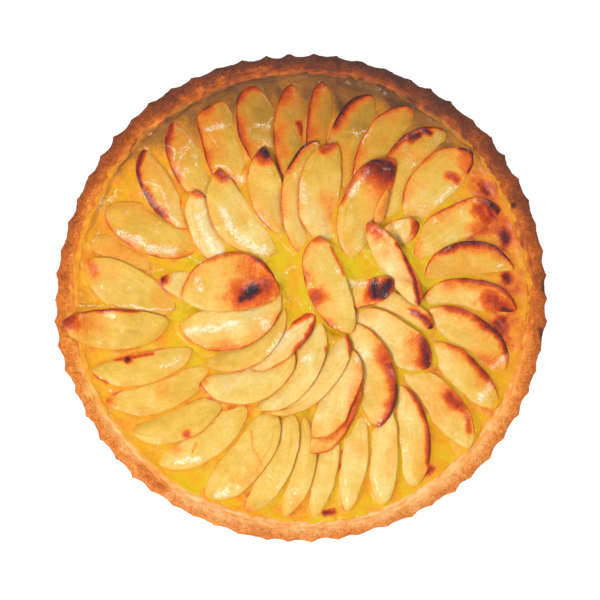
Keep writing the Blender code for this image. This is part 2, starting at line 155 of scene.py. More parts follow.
# Browned places in the custard, as strokes.
CUSTARD_BROWNING = (
    (3.4, 1, (100, 65, 104, 60)), (7, 0.6, (99, 66, 105, 60)), (4.4, 1.1, (113, 37, 115, 33)),
    (9, 0.55, (110, 40, 116, 31)), (3, 1.15, (115, 12, 116, 9)), (6.5, 0.5, (114, 13, 116, 8)),
    (4, 1.2, (112, -13, 114, -18)), (8, 0.5, (111, -12, 114, -20)),
    (13, 0.4, (99, 68, 116, 36, 118, 8, 115, -20)), (5, 0.62, (96, 34, 104, 38)),
    (1.7, 1.1, (13, -121, 18, -120)), (2.6, 1, (73, -96, 71, -98)),
)

# Darker places in the custard, as strokes whose strength is a tone.
CUSTARD_DARK_STROKES = (
    (1, 0.5, (21, 120.4, 30, 118, 40, 115.7)), (2.6, 0.6, (45, 115.4, 49, 113)),
    (2.2, 0.4, (53, 108, 58, 105)), (2.5, 0.3, (18, 118, 22, 108, 24, 100)), (2, 0.25, (-13, 117, -8, 104)),
    (7, 0.35, (75, 92, 90, 77)),
)

# The painted shade of the open seam between crust and custard round the back, as strokes.
SEAM_SHADE_STROKES = (
    (0.6, 0.6, (2, 122.4, -13, 122.2, -29, 121.6, -43, 118, -57, 111, -71, 102, -82, 97, -92, 88.4)),
    (0.6, 1, (-92, 88.4, -97, 80.3, -101, 74, -105, 68, -108.5, 61, -115, 48, -120, 36, -123, 25.3)),
)

# Where glaze lies thick and catches the light, and where white painted highlights are drawn over it, on
# slices and custard alike, as strokes.
GLAZE_AND_HIGHLIGHT_POOLS = (
    (3.2, 1, (-102, 36, -91, 31.5, -83, 27, -72, 26.5)), (2.4, 1, (-89, 58.5, -82, 53, -74, 46, -69, 42)),
    (0.7, 1, (-89, 64, -83, 64, -79, 62, -74, 49)), (0.7, 1, (-76, 85.5, -72, 85, -71, 80.5, -72, 77)),
    (0.6, 1, (-70, 76, -63, 85.5)), (0.6, 1, (-72, 78, -64, 87.5)), (2.2, 0.9, (-70, 72, -67, 69)),
    (2.2, 1, (-53, 94, -49, 96.5, -45, 96.5)), (0.7, 1, (-50, 90, -46.5, 85)),
    (0.6, 0.9, (-43, 96, -40, 97.5)), (0.8, 1, (-48, 74, -42, 74, -39, 70, -32, 68)),
    (3, 0.9, (-38, 68, -33, 67)), (1.8, 0.9, (-25, 97, -21, 97)),
    (0.6, 0.9, (-19, 95, -18.5, 99, -16, 102)), (0.7, 1, (-25, 84.5, -21, 87, -17, 85.5)),
    (3, 0.9, (-58, 45, -54, 37, -49, 28, -45, 24)), (0.8, 0.9, (-60, 46, -54.5, 47, -53.5, 50)),
    (3.6, 0.9, (-45, 49, -41, 42, -36, 35, -28, 28, -21, 25)), (0.9, 0.8, (-23, 46, -18, 42)),
    (2, 0.8, (-96, 5)), (2.6, 0.9, (-59, 9.5, -57.5, 4.5)), (2, 1, (-31, 7.5, -23, 8)),
    (0.7, 1, (-64, 23, -54.5, 19)), (0.6, 1, (-87, 14.5, -78.5, 15)), (0.7, 0.9, (-104, 60, -108, 56)),
    (0.8, 0.9, (-113, 37, -116, 32)), (0.6, 0.8, (-89, 86, -87, 84)),
    (0.7, 1, (28, 92, 32, 92, 35, 93.5, 39, 94)), (0.7, 1, (34, 85, 35, 89, 38, 91)),
    (0.7, 0.9, (61, 72, 65, 76)), (0.6, 0.8, (53, 86, 61, 92)), (3, 0.8, (0, 64, 2, 55)),
    (0.7, 0.9, (0, 82, 4, 86, 9, 86.5)), (2.6, 1, (27, 58.5, 32, 64, 37, 70)), (0.9, 0.9, (46, 72, 50, 71)),
    (2.8, 0.8, (77, 54.5, 84, 60.5, 87, 63.5)), (0.7, 0.9, (97, 54, 101, 53)), (2.4, 0.8, (52, 39, 56, 42)),
    (2.2, 0.8, (42.5, 39, 47.5, 35.5)), (2.2, 0.9, (28, 7.5, 43.5, 9)), (0.7, 0.9, (17, 20, 20.5, 14)),
    (0.9, 1, (110, 17, 113, 19)), (0.7, 0.9, (80, 26, 84, 29)),
    (0.6, 1, (-127, -4.5, -110, -4.5, -99, -4, -87, -6.5, -74, -7)), (0.8, 0.8, (-112, -39.5)),
    (2.4, 0.7, (-78, -39, -68, -34.5)), (3, 1, (-64, -19.5, -54.5, -18, -47, -17.5, -38, -14.5)),
    (3.4, 0.9, (-24, -13, -19, -16.5)), (3.4, 0.9, (-8, -20, -17, -30)), (0.7, 1, (-83, -28, -79, -27)),
    (2.2, 1, (-70, -92.5, -64, -91, -57.5, -91.5)), (2.6, 0.9, (-47, -110, -42, -109)),
    (2.6, 0.9, (99.5, -57, 106, -49)), (2.4, 1, (108, -38.5, 115, -33)), (2.6, 0.9, (32, -34, 37, -31)),
    (2.4, 0.8, (0, -35, 4, -33)), (2, 0.7, (17.5, -25)), (1.6, 0.8, (60, -21)),
    (0.8, 1, (93, -66, 92.5, -70)), (2, 0.8, (87, -76)), (0.7, 0.9, (-9, 14, -4, 18)),
    (0.9, 0.8, (2, 12, 6, 8)), (0.7, 0.8, (-10, -3, -5, 0)),
)

# How far the crust is baked, by the angle in degrees round the tart: darker at the back, partly from baking
# and partly as painted shade, and paler at the front.
CRUST_BAKE_AND_SHADE = (
    (0, 0.6), (15, 0.72), (30, 0.8), (60, 1), (90, 1.03), (115, 0.87), (140, 0.7), (165, 0.54), (190, 0.42),
    (215, 0.32), (240, 0.32), (270, 0.33), (300, 0.27), (330, 0.34), (345, 0.46),
)
# How much paler the crust's inner slope is than its rim, and how much paler still at its foot, by angle too.
CRUST_SLOPE = (
    (0, 0.12), (30, 0.13), (60, 0.19), (225, 0.23), (330, 0.19), (345, 0.16),
)
CRUST_FOOT = (
    (0, 0.04), (30, 0.04), (60, 0.12), (90, 0.2), (105, 0.12), (135, 0.12), (150, 0), (345, 0),
)
# How golden the crust is, by angle too.
CRUST_GOLD = (
    (0, 0.8), (30, 0.5), (60, 0.2), (120, 0.5), (150, 0.9), (190, 1), (215, 0.5), (240, 0.1), (315, 0.2),
    (340, 0.6),
)
# How far custard is smeared up the crust's inner slope, by angle too.
CRUST_SMEAR = (
    (0, 3.8), (15, 2.2), (30, 3.1), (45, 2.8), (60, 1.6), (80, 1), (105, 1.2), (120, 2), (140, 3), (165, 3),
    (180, 3.8), (200, 3.2), (215, 1.4), (230, 0.6), (300, 0.4), (330, 0.8), (345, 2.2),
)
# The crust's few darkest spots, as strokes.
CRUST_SPOTS = (
    (2.4, 1.2, (119, 52)), (2.6, 1, (134, -18, 135, -24)), (2.6, 1, (136, 9, 136, 4)),
    (6, 0.42, (-78, -108, -90, -98)), (4, 0.9, (60, 112, 66, 109)), (2, 1.1, (52, 127, 58, 124)),
)

# Helpers

NOISE_CELLS = 32
# A stroke's edge wanders by this share of its width, its strength by that share, and it fades by this power.
STROKE_WANDER = 0.35
STROKE_UNEVEN = 0.15
STROKE_POWER = 1.6
GLAZE_SEED = 411


def smooth(low, high, value):
    """0 below low, 1 above high and a soft step between."""
    share = np.clip((value - low) / (high - low), 0, 1)
    return share * share * (3 - 2 * share)


def fade(distance, width, power=2):
    """1 at no distance, about a third at this width and on to 0; a higher power falls later and faster."""
    return np.exp(-((distance / width) ** power))


def noise(points, scale, seed):
    """Smooth noise from -1 to 1 at these points, with bumps of about that size."""
    table = np.random.default_rng(seed).uniform(-1, 1, (NOISE_CELLS,) * 3)
    place = np.asarray(points) / scale + seed * 0.37
    cell = np.floor(place).astype(int)
    part = place - cell
    part = part * part * (3 - 2 * part)
    total = np.zeros(len(place))
    for corner in np.ndindex(2, 2, 2):
        value = table[tuple(((cell + corner) % NOISE_CELLS).T)]
        for axis, end in enumerate(corner):
            value = value * (part[:, axis] if end else 1 - part[:, axis])
        total += value
    return total


def rough_noise(points, scale, seed, octaves=3):
    """Noise with finer and weaker noise added to it."""
    total = np.zeros(len(points))
    for octave in range(octaves):
        total += noise(points, scale / 2**octave, seed + octave) / 2**octave
    return total / 1.5


def stroke_distance(x, y, points):
    """How far each place is, in plan, from a line through these points, given as x, y, x, y and so on."""
    points = np.reshape(points, (-1, 2)).astype(float)
    nearest = np.hypot(x - points[0][0], y - points[0][1])
    for start, end in zip(points, points[1:]):
        run = end - start
        share = np.clip(((x - start[0]) * run[0] + (y - start[1]) * run[1]) / (run @ run), 0, 1)
        nearest = np.minimum(nearest, np.hypot(x - start[0] - share * run[0], y - start[1] - share * run[1]))
    return nearest


def browned(x, y, strokes, ragged, to_peel=None):
    """The browning of these strokes; ragged, noise from -1 to 1, makes their edges uneven."""
    total = np.zeros(len(x))
    wander = 1 + STROKE_WANDER * ragged
    for width, strength, points, *depth in strokes:
        browning = strength * fade(stroke_distance(x, y, points), width * wander, STROKE_POWER)
        browning *= 1 + STROKE_UNEVEN * ragged
        if depth:
            browning *= fade(to_peel, depth[0] * wander, STROKE_POWER)
        total = np.maximum(total, browning)
    return total


def glaze_and_highlight(points):
    """How thick the glaze lies at each place, from 0 to 1, in pools and runs that wriggle; the same values
    mark where white painted highlights are drawn.
    """
    seed = GLAZE_SEED
    x = points[:, 0] + 0.9 * noise(points, 2.6, seed) + 0.4 * noise(points, 1.1, seed + 1)
    y = points[:, 1] + 0.9 * noise(points, 2.6, seed + 2) + 0.4 * noise(points, 1.1, seed + 3)
    pools = browned(x, y, GLAZE_AND_HIGHLIGHT_POOLS, 0.6 * noise(points, 2.0, seed + 4))
    turned = np.stack((1.1 * x + 0.8 * y, 0.5 * y - 0.7 * x, 0.7 * x), axis=1)
    # Drops and haze: spots of glaze that also carry painted highlights, the drops fewer at the front.
    drops = smooth(0.68, 0.84, noise(turned, 2.4, seed + 5)) * smooth(0.1, 0.5, noise(points, 16.0, seed + 6))
    drops *= 0.35 + 0.65 * smooth(-50, 10, points[:, 1])
    haze = smooth(0.0, 0.7, noise(turned, 5.0, seed + 7))
    haze *= 0.3 + 0.18 * smooth(-20, 60, points[:, 1]) - 0.36 * smooth(85, 112, points[:, 1])
    return np.clip(np.maximum(pools, np.maximum(0.9 * drops, haze)), 0, 1)


def painted_seam_shade(points):
    """How dark the painted shade of the seam is at each place: a wandering line that fades in parts."""
    x = points[:, 0] + 1.1 * noise(points, 6.0, 81) + 0.5 * noise(points, 2.4, 82)
    y = points[:, 1] + 1.1 * noise(points, 6.0, 83) + 0.5 * noise(points, 2.4, 84)
    seam = browned(x, y, SEAM_SHADE_STROKES, 0.5 * noise(points, 3.0, 85))
    return seam * (0.55 + 0.45 * smooth(-0.5, 0.4, noise(points, 9.0, 86)))


def back_bake_and_shade(points):
    """0 over most of the tart and up to 1 at its back, where everything is darker: baked darker, and partly
    painted shade.
    """
    return smooth(40, 115, points[:, 1] - 0.12 * np.abs(points[:, 0]))


def add_piece(name, points, faces, finish, values):
    """A smooth mesh object of these points, with a number or a vector for each in every named attribute."""
    mesh = bpy.data.meshes.new(name)
    mesh.from_pydata((np.asarray(points) * MM).tolist(), [], faces)
    mesh.shade_smooth()
    for title, numbers in values.items():
        kind, field = ("FLOAT_VECTOR", "vector") if np.ndim(numbers) == 2 else ("FLOAT", "value")
        layer = mesh.attributes.new(title, kind, "POINT")
        layer.data.foreach_set(field, np.asarray(numbers, np.float32).ravel())
    mesh.materials.append(finish)
    obj = bpy.data.objects.new(name, mesh)
    bpy.context.scene.collection.objects.link(obj)
    return obj


def dress(obj, node):
    """The piece stands for a node, whose solid is hidden, and rides with the root body."""
    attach(obj, "root")
    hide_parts(node)


def node_points(node):
    """The different corners of a node's solid."""
    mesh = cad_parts[node].data
    points = np.empty(len(mesh.vertices) * 3)
    mesh.vertices.foreach_get("co", points)
    return np.unique(np.round(points.reshape(-1, 3) / MM, 3), axis=0)


def nodes_tree(nodes):
    """These nodes' solids for finding what is above or below a place."""
    points, faces = [], []
    for node in nodes:
        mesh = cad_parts[node].data
        faces += [[len(points) + corner for corner in polygon.vertices] for polygon in mesh.polygons]
        points += [vertex.co[:] for vertex in mesh.vertices]
    return BVHTree.FromPolygons(points, faces)


def grid_faces(rows, columns, closed):
    """Quads of a grid of points stored row by row; closed joins the last column to the first."""
    index = np.arange(rows * columns).reshape(rows, columns)
    following = np.roll(index, -1, axis=1)
    quads = np.stack((index[:-1], following[:-1], following[1:], index[1:]), axis=-1)
    if not closed:
        quads = quads[:, :-1]
    return [tuple(quad) for quad in quads.reshape(-1, 4).tolist()]


def curve_weights(shares, knots):
    """How much each knot's value counts at these shares, on the one smooth curve through all the knots."""
    weights = np.ones((len(shares), len(knots)))
    for column, place in enumerate(knots):
        for other, away in enumerate(knots):
            if other != column:
                weights[:, column] *= (shares - away) / (place - away)
    return weights


# Materials

# Colours along each scale: apple and custard by tone, their browned places by half the browning, and crust by
# four fifths of it.
APPLE_TONES = ((0.0, "eedfa4"), (0.14, "e9cc7c"), (0.32, "e1b950"), (0.52, "cea23a"), (0.72, "ae8630"),
               (1.0, "885f28"))
BROWNED_APPLE = ((0.0, "f8ac3c"), (0.12, "f28f2a"), (0.26, "dc6020"), (0.41, "b8401e"), (0.56, "8a3024"),
                 (0.71, "5e2a2c"), (0.87, "3e2a30"), (1.0, "2c2630"))
CUSTARD_TONES = ((0.0, "dcbc18"), (0.22, "e8a516"), (0.42, "d48c26"), (0.6, "ac702a"), (0.78, "86562c"),
                 (1.0, "64422c"))
BROWNED_CUSTARD = ((0.0, "f6a636"), (0.1, "ee9032"), (0.2, "dc6a2a"), (0.38, "b24020"), (0.55, "782a24"),
                   (0.8, "482228"))
CRUST_TONES = ((0.0, "fcc68a"), (0.14, "f5a458"), (0.3, "de7c34"), (0.46, "b65c28"), (0.62, "86422a"),
               (0.8, "5e362e"), (1.0, "463230"))
GOLDEN_TINT = "fffac8"
# The colours of the white painted highlights on apple and on custard.
PAINTED_HIGHLIGHT_ON_APPLE = "fff6dc"
PAINTED_HIGHLIGHT_ON_CUSTARD = "fff2c0"
# How deep light gets into the pieces.
LIGHT_DEPTH = 2.0
# How the fibres' own coordinates are drawn out for the broad rays across a slice.
RAY_STRETCH = (13.0, 0.36, 1.0)


def linear(code):
    """A colour written as six hexadecimal digits, as Blender's linear values."""
    parts = [int(code[i : i + 2], 16) / 255 for i in (0, 2, 4)]
    return (*[p / 12.92 if p < 0.04045 else ((p + 0.055) / 1.055) ** 2.4 for p in parts], 1)


class Shader:
    """A new material and short ways to add its nodes."""

    def __init__(self, name):
        self.material = bpy.data.materials.new(name)
        self.material.use_nodes = True
        self.nodes = self.material.node_tree.nodes
        self.links = self.material.node_tree.links
        self.surface = self.nodes["Principled BSDF"]
        self.set(Subsurface_Scale=LIGHT_DEPTH * MM)

    def link(self, source, node, socket):
        self.links.new(source, node.inputs[socket])

    def attribute(self, name, output="Fac"):
        node = self.nodes.new("ShaderNodeAttribute")
        node.attribute_name = name
        return node.outputs[output]

    def noise(self, size_mm, detail=3, roughness=0.55, distortion=0.0):
        """Noise with bumps of this size; the scale of the object's coordinates is metres."""
        place = self.nodes.new("ShaderNodeTexCoord").outputs["Object"]
        return self.noise_along(place, detail, roughness, distortion, 1 / (size_mm * MM))

    def noise_along(self, vector, detail, roughness=0.5, distortion=0.0, scale=1.0):
        """Noise in coordinates of its own."""
        node = self.nodes.new("ShaderNodeTexNoise")
        node.inputs["Scale"].default_value = scale
        node.inputs["Detail"].default_value = detail
        node.inputs["Roughness"].default_value = roughness
        node.inputs["Distortion"].default_value = distortion
        self.link(vector, node, "Vector")
        return node.outputs["Fac"]

    def math(self, operation, first, second):
        node = self.nodes.new("ShaderNodeMath")
        node.operation = operation
        for socket, value in enumerate((first, second)):
            if isinstance(value, (int, float)):
                node.inputs[socket].default_value = value
            else:
                self.links.new(value, node.inputs[socket])
        return node.outputs[0]

    def times(self, first, second):
        return self.math("MULTIPLY", first, second)

    def swung(self, value, *swings):
        """The value with noises from 0 to 1 added, each as a swing of its amount either way."""
        for swing, amount in swings:
            value = self.math("ADD", value, self.times(self.math("SUBTRACT", swing, 0.5), 2 * amount))
        return value

    def ramp(self, value, stops):
        node = self.nodes.new("ShaderNodeValToRGB")
        elements = node.color_ramp.elements
        elements[0].position, elements[1].position = stops[0][0], stops[-1][0]
        elements[0].color, elements[1].color = linear(stops[0][1]), linear(stops[-1][1])
        for position, colour in stops[1:-1]:
            elements.new(position).color = linear(colour)
        self.link(value, node, "Fac")
        return node.outputs["Color"]

    def step(self, value, low, high):
        """0 below low, 1 above high and a straight slope between."""
        return self.ramp(value, ((low, "000000"), (high, "ffffff")))

    def mix(self, share, first, second, blend="MIX"):
        node = self.nodes.new("ShaderNodeMix")
        node.data_type = "RGBA"
        node.blend_type = blend
        for socket, value in ((0, share), (6, first), (7, second)):
            if isinstance(value, (int, float)):
                node.inputs[socket].default_value = value
            elif isinstance(value, str):
                node.inputs[socket].default_value = linear(value)
            else:
                self.links.new(value, node.inputs[socket])
        return node.outputs[2]

    def bump(self, height, depth_mm, normal=None):
        node = self.nodes.new("ShaderNodeBump")
        node.inputs["Strength"].default_value = 1.0
        node.inputs["Distance"].default_value = depth_mm * MM
        self.link(height, node, "Height")
        if normal is not None:
            self.link(normal, node, "Normal")
        return node.outputs["Normal"]

    def set(self, **values):
        for name, value in values.items():
            self.surface.inputs[name.replace("_", " ")].default_value = value


def add_glaze(shader, lumps_mm, depth_mm, least):
    """A glaze over the surface: from `least` to 1 wet, and standing in lumps where it is thick."""
    thick = shader.attribute("glaze")
    lumps = shader.noise(lumps_mm, detail=1, distortion=1.6)
    ripples = shader.noise(lumps_mm * 3.5, detail=1)
    grit = shader.noise(0.9, detail=1)
    amount = shader.math("ADD", shader.times(thick, 0.85), 0.15)
    height = shader.math("ADD", shader.times(lumps, amount), ripples)
    height = shader.math("ADD", height, shader.times(grit, 0.06))
    shader.link(shader.bump(height, depth_mm), shader.surface, "Coat Normal")
    wet = shader.math("ADD", shader.times(thick, 1 - least), least)
    shader.link(wet, shader.surface, "Coat Weight")
    shader.link(shader.math("SUBTRACT", 0.11, shader.times(thick, 0.06)), shader.surface, "Coat Roughness")
    shader.set(Coat_IOR=1.5, Specular_IOR_Level=0.12)


def painted_highlight_share(shader, share, strength):
    """Painted highlights where the glaze lies thick: white soft smears with thin wriggling lines, and faint
    over browned places.
    """
    glaze = shader.attribute("glaze")
    # The painted highlight's mask: soft smears, and thin wriggling lines held where the glaze is thick.
    cloud = shader.noise(2.6, detail=1, distortion=2.4)
    smear = shader.step(shader.swung(glaze, (cloud, 1.0)), 0.6, 0.95)
    wriggle = shader.noise(2.6, detail=1, distortion=2.2)
    line = shader.ramp(wriggle, ((0.455, "000000"), (0.5, "ffffff"), (0.545, "000000")))
    held = shader.step(glaze, 0.3, 0.75)
    white = shader.math("MAXIMUM", smear, shader.times(line, held))
    plain = shader.math("SUBTRACT", 1.0, shader.times(share, 0.8))
    return shader.times(shader.times(white, strength), plain)


def browning_share(shader, *swings):
    """The attribute `bake` made uneven by these swings of noise, halved to run from 0 to 1."""
    return shader.times(shader.times(shader.attribute("bake"), shader.swung(1.0, *swings)), 0.5)


def apple_material():
    """Baked apple flesh: cream to gold, browned where `bake` says, in long fibres along `grain`, with white
    painted highlights where `glaze` is thick.
    """
    shader = Shader("baked_apple")
    grain = shader.attribute("grain", "Vector")
    fibres = shader.noise_along(grain, detail=4)
    turn = shader.nodes.new("ShaderNodeVectorMath")
    turn.operation = "MULTIPLY"
    turn.inputs[1].default_value = RAY_STRETCH
    shader.link(grain, turn, 0)
    rays = shader.noise_along(turn.outputs["Vector"], detail=2, distortion=0.6)
    clouds = shader.noise(8.0)
    fine = shader.noise(1.3, detail=4, roughness=0.75)
    depth = shader.attribute("tone")
    tone = shader.swung(depth, (clouds, 0.14), (fibres, 0.12), (rays, 0.06), (fine, 0.17))
    bake = browning_share(shader, (fine, 0.55), (rays, 0.3))
    share = shader.step(bake, 0.0, 0.2)
    # Browned places darker where the flesh is deeper in tone, which at the back of the tart is partly painted
    # shade.
    dim = shader.math("SUBTRACT", 1.06, shader.times(depth, 0.36))
    browned_flesh = shader.mix(1.0, shader.ramp(bake, BROWNED_APPLE), dim, "MULTIPLY")
    colour = shader.mix(share, shader.ramp(tone, APPLE_TONES), browned_flesh)
    # White painted highlights over the flesh where the glaze is thick.
    colour = shader.mix(painted_highlight_share(shader, share, 0.72), colour, PAINTED_HIGHLIGHT_ON_APPLE)
    shader.link(colour, shader.surface, "Base Color")
    pores = shader.noise(1.7, detail=4, roughness=0.75)
    shader.link(shader.bump(pores, 0.45, shader.bump(fibres, 0.12)), shader.surface, "Normal")
    add_glaze(shader, 2.6, 0.9, 0.18)
    shader.set(Roughness=0.42, Subsurface_Weight=0.15, Subsurface_Radius=(1.0, 0.5, 0.2))
    return shader.material


def custard_material():
    """Baked custard: saturated yellow, darker where `tone` says and browned where `bake` says, with white
    painted highlights where `glaze` is thick.
    """
    shader = Shader("baked_custard")
    clouds = shader.noise(12.0, detail=4)
    fine = shader.noise(1.4, detail=4, roughness=0.75)
    tone = shader.swung(shader.attribute("tone"), (clouds, 0.24), (fine, 0.24))
    bake = browning_share(shader, (fine, 0.7))
    share = shader.step(bake, 0.0, 0.22)
    colour = shader.mix(share, shader.ramp(tone, CUSTARD_TONES), shader.ramp(bake, BROWNED_CUSTARD))
    # White painted highlights over the custard where the glaze is thick.
    colour = shader.mix(painted_highlight_share(shader, share, 0.65), colour, PAINTED_HIGHLIGHT_ON_CUSTARD)
    shader.link(colour, shader.surface, "Base Color")
    skin = shader.noise(2.0, detail=5, roughness=0.75)
    shader.link(shader.bump(skin, 0.7), shader.surface, "Normal")
    add_glaze(shader, 2.8, 0.9, 0.2)
    shader.set(Roughness=0.45, Subsurface_Weight=0.12, Subsurface_Radius=(1.0, 0.6, 0.15))
    return shader.material


def crust_material():
    """Shortcrust baked from peach to dark brown by `bake`, speckled where `crumb` says that it is crumbly."""
    shader = Shader("shortcrust")
    grains = shader.noise(0.9, detail=5, roughness=0.8)
    flecks = shader.noise(2.6, detail=4, roughness=0.7)
    clouds = shader.noise(9.0, detail=3)
    streaks = shader.noise_along(shader.attribute("grain", "Vector"), detail=4)
    crumb = shader.attribute("crumb")
    smoothness = shader.math("SUBTRACT", 1.0, crumb)
    speckle = shader.times(shader.swung(0.0, (grains, 0.66), (flecks, 0.3)), crumb)
    streaky = shader.times(shader.swung(0.0, (streaks, 0.45)), smoothness)
    bake = shader.math("ADD", shader.math("ADD", shader.attribute("bake"), speckle), streaky)
    baked = shader.ramp(shader.times(shader.swung(bake, (clouds, 0.12)), 0.8), CRUST_TONES)
    baked = shader.mix(shader.attribute("gold"), baked, shader.mix(1.0, baked, GOLDEN_TINT, "MULTIPLY"))
    smear = shader.step(shader.swung(shader.attribute("smear"), (flecks, 0.5)), 0.35, 0.65)
    filling = shader.ramp(shader.swung(shader.attribute("tone"), (clouds, 0.2)), CUSTARD_TONES)
    shader.link(shader.mix(shader.times(smear, 0.8), baked, filling), shader.surface, "Base Color")
    height = shader.times(grains, shader.math("ADD", shader.times(crumb, 0.8), 0.2))
    height = shader.math("ADD", height, shader.times(streaks, smoothness))
    shader.link(shader.bump(height, 0.7), shader.surface, "Normal")
    shader.set(Roughness=0.72, Specular_IOR_Level=0.3)
    shader.set(Subsurface_Weight=0.05, Subsurface_Radius=(1.0, 0.5, 0.25))
    return shader.material


# The slices

SLICE_ROWS = 92
TOP_COLUMNS = 38
UNDER_COLUMNS = 6
WALL_HEIGHTS = np.array((0.75, 0.5, 0.25))
# How much the rows crowd toward the tips, and where the last of them lies from the middle, 0, to the tip, 1.
ROW_CROWDING = 0.38
LAST_ROW = 0.9992
# The top of a slice falls off over this width along its outline, by this much, and its corner is rounded.
SHOULDER_WIDTH = 4.5
SHOULDER_DROP = 0.28
EDGE_ROUNDING = 0.32
OUTLINE_WANDER = 0.8
# A slice lies over another one where its lower face is no further than this below the other's top. It is
# looked for in a box with this margin, and a point under none counts as far away.
OVERLAP_SLACK = 0.6
OVERLAP_MARGIN = 3.0
FAR_AWAY = 99.0
# Browning of a slice: the line and the glow along its peel edge, the line along its core edge, the glow along
# its core edge and tips, its walls, and the painted shade where another slice lies on it and how wide that
# is.
PEEL_LINE = 0.74
PEEL_GLOW = 0.38
CORE_LINE = 0.08
EDGE_GLOW = 0.07
WALL_BAKE = 0.2
CONTACT_SHADE = 0.34
CONTACT_SHADE_WIDTH = 1.1
# Tone of a slice: at the front of the tart, how much more at its back, partly as painted shade, and how far
# slices differ by chance.
FRONT_TONE = 0.17
BACK_TONE_AND_SHADE = 0.56
CHANCE_TONE = 0.06
# The deeper bundle of fibres: how far it lies from the peel edge, how wide it is and how deep in tone.
BUNDLE_PLACE = 4.6
BUNDLE_WIDTH = 0.5
BUNDLE_TONE = 0.14
# How far a burnt place sinks, and what the grain's coordinates are divided by along and across a slice.
BURNT_SINK = 0.25
GRAIN_LENGTH = 16.0
GRAIN_WIDTH = 2.2


def slice_grid(node):
    """The slice's corners by station and column as (x, y, lower z, upper z), peel edge in the last column."""
    points = node_points(node)
    plan = points[:, :2]
    apart = np.linalg.norm(plan[:, None] - plan[None], axis=2)
    first, last = np.unravel_index(np.argmax(apart), apart.shape)
    start, end = plan[first], plan[last]
    grid = read_stations(points, start, end)
    middle = grid[STATIONS // 2]
    if middle[0, 3] - middle[0, 2] > middle[-1, 3] - middle[-1, 2]:
        grid = read_stations(points, end, start)
    return grid


def read_stations(points, start, end):
    """The corners between these tips by station; the stations lie as equal steps on a half circle."""
    run = end - start
    length = np.linalg.norm(run)
    run = run / length
    along = (points[:, :2] - start) @ run / length
    across = (points[:, :2] - start) @ np.array((run[1], -run[0]))
    angle = np.arccos(np.clip(1 - 2 * along, -1, 1))
    station = np.round(angle * (STATIONS - 1) / math.pi).astype(int)
    return np.array([read_station(points[station == number], across[station == number])
                     for number in range(STATIONS)])


def read_station(points, across):
    """The columns of one station; a tip's two corners count for all, and a corner left out is filled in."""
    if len(points) == 2:
        return np.array([(*points[0, :2], points[:, 2].min(), points[:, 2].max())] * len(COLUMN_SHARES))
    share = (across - across.min()) / np.ptp(across)
    nearest = np.argmin(np.abs(share[:, None] - COLUMN_SHARES), axis=1)
    columns = [points[nearest == column] for column in range(len(COLUMN_SHARES))]
    thickness = np.mean([np.ptp(column[:, 2]) for column in columns if len(column) > 1])
    station = []
    for column in columns:
        low, high = column[:, 2].min(), column[:, 2].max()
        if len(column) == 1 and high > points[:, 2].mean():
            low = high - thickness
        elif len(column) == 1:
            high = low + thickness
        station.append((*column[:, :2].mean(axis=0), low, high))
    return np.array(station)


def spline_rows(grid, places):
    """The grid's rows at these places from 0 to the last station, on a smooth curve through the stations."""
    padded = np.concatenate((2 * grid[:1] - grid[1:2], grid, 2 * grid[-1:] - grid[-2:-1]))
    cell = np.minimum(places.astype(int), len(grid) - 2)
    t = (places - cell)[:, None, None]
    a, b, c, d = (padded[cell + shift] for shift in range(4))
    return 0.5 * (2 * b + (c - a) * t + (2 * a - 5 * b + 4 * c - d) * t**2 + (3 * b - a - 3 * c + d) * t**3)


def slice_outlines():
    """The outline of every slice in plan, with the height of its lower face."""
    places = np.linspace(0.02, STATIONS - 1.02, 56)
    outlines = {}
    for node in SLICE_LOOKS:
        rows = spline_rows(slice_grid(node), places)
        outlines[node] = np.concatenate((rows[:, 0, :3], rows[:, -1, :3]))
    return outlines


def to_slice_above(points, node, outlines):
    """How far each point is, in plan, from the outline of the nearest slice that lies over this one."""
    nearest = np.full(len(points), FAR_AWAY)
    low, high = points.min(axis=0), points.max(axis=0)
    for other, line in outlines.items():
        inside = (line[:, :2] > low[:2] - OVERLAP_MARGIN) & (line[:, :2] < high[:2] + OVERLAP_MARGIN)
        near = inside.all(axis=1)
        if other == node or not near.any():
            continue
        line = line[near]
        apart = np.hypot(points[:, None, 0] - line[None, :, 0], points[:, None, 1] - line[None, :, 1])
        above = line[None, :, 2] + OVERLAP_SLACK > points[:, None, 2]
        nearest = np.minimum(nearest, np.where(above, apart, FAR_AWAY).min(axis=1))
    return nearest


def slice_ring():
    """One loop round a slice's section: shares of the width, and heights from 0, underside, to 1, top."""
    bend = np.linspace(0, math.pi, TOP_COLUMNS)
    top = 0.5 * np.linspace(0, 1, TOP_COLUMNS) + 0.5 * (1 - np.cos(bend)) / 2
    under = np.linspace(1, 0, UNDER_COLUMNS)
    wall = WALL_HEIGHTS
    shares = np.concatenate((top, np.ones(len(wall)), under, np.zeros(len(wall))))
    heights = np.concatenate((np.ones(TOP_COLUMNS), wall, np.zeros(UNDER_COLUMNS), wall[::-1]))
    return shares, heights


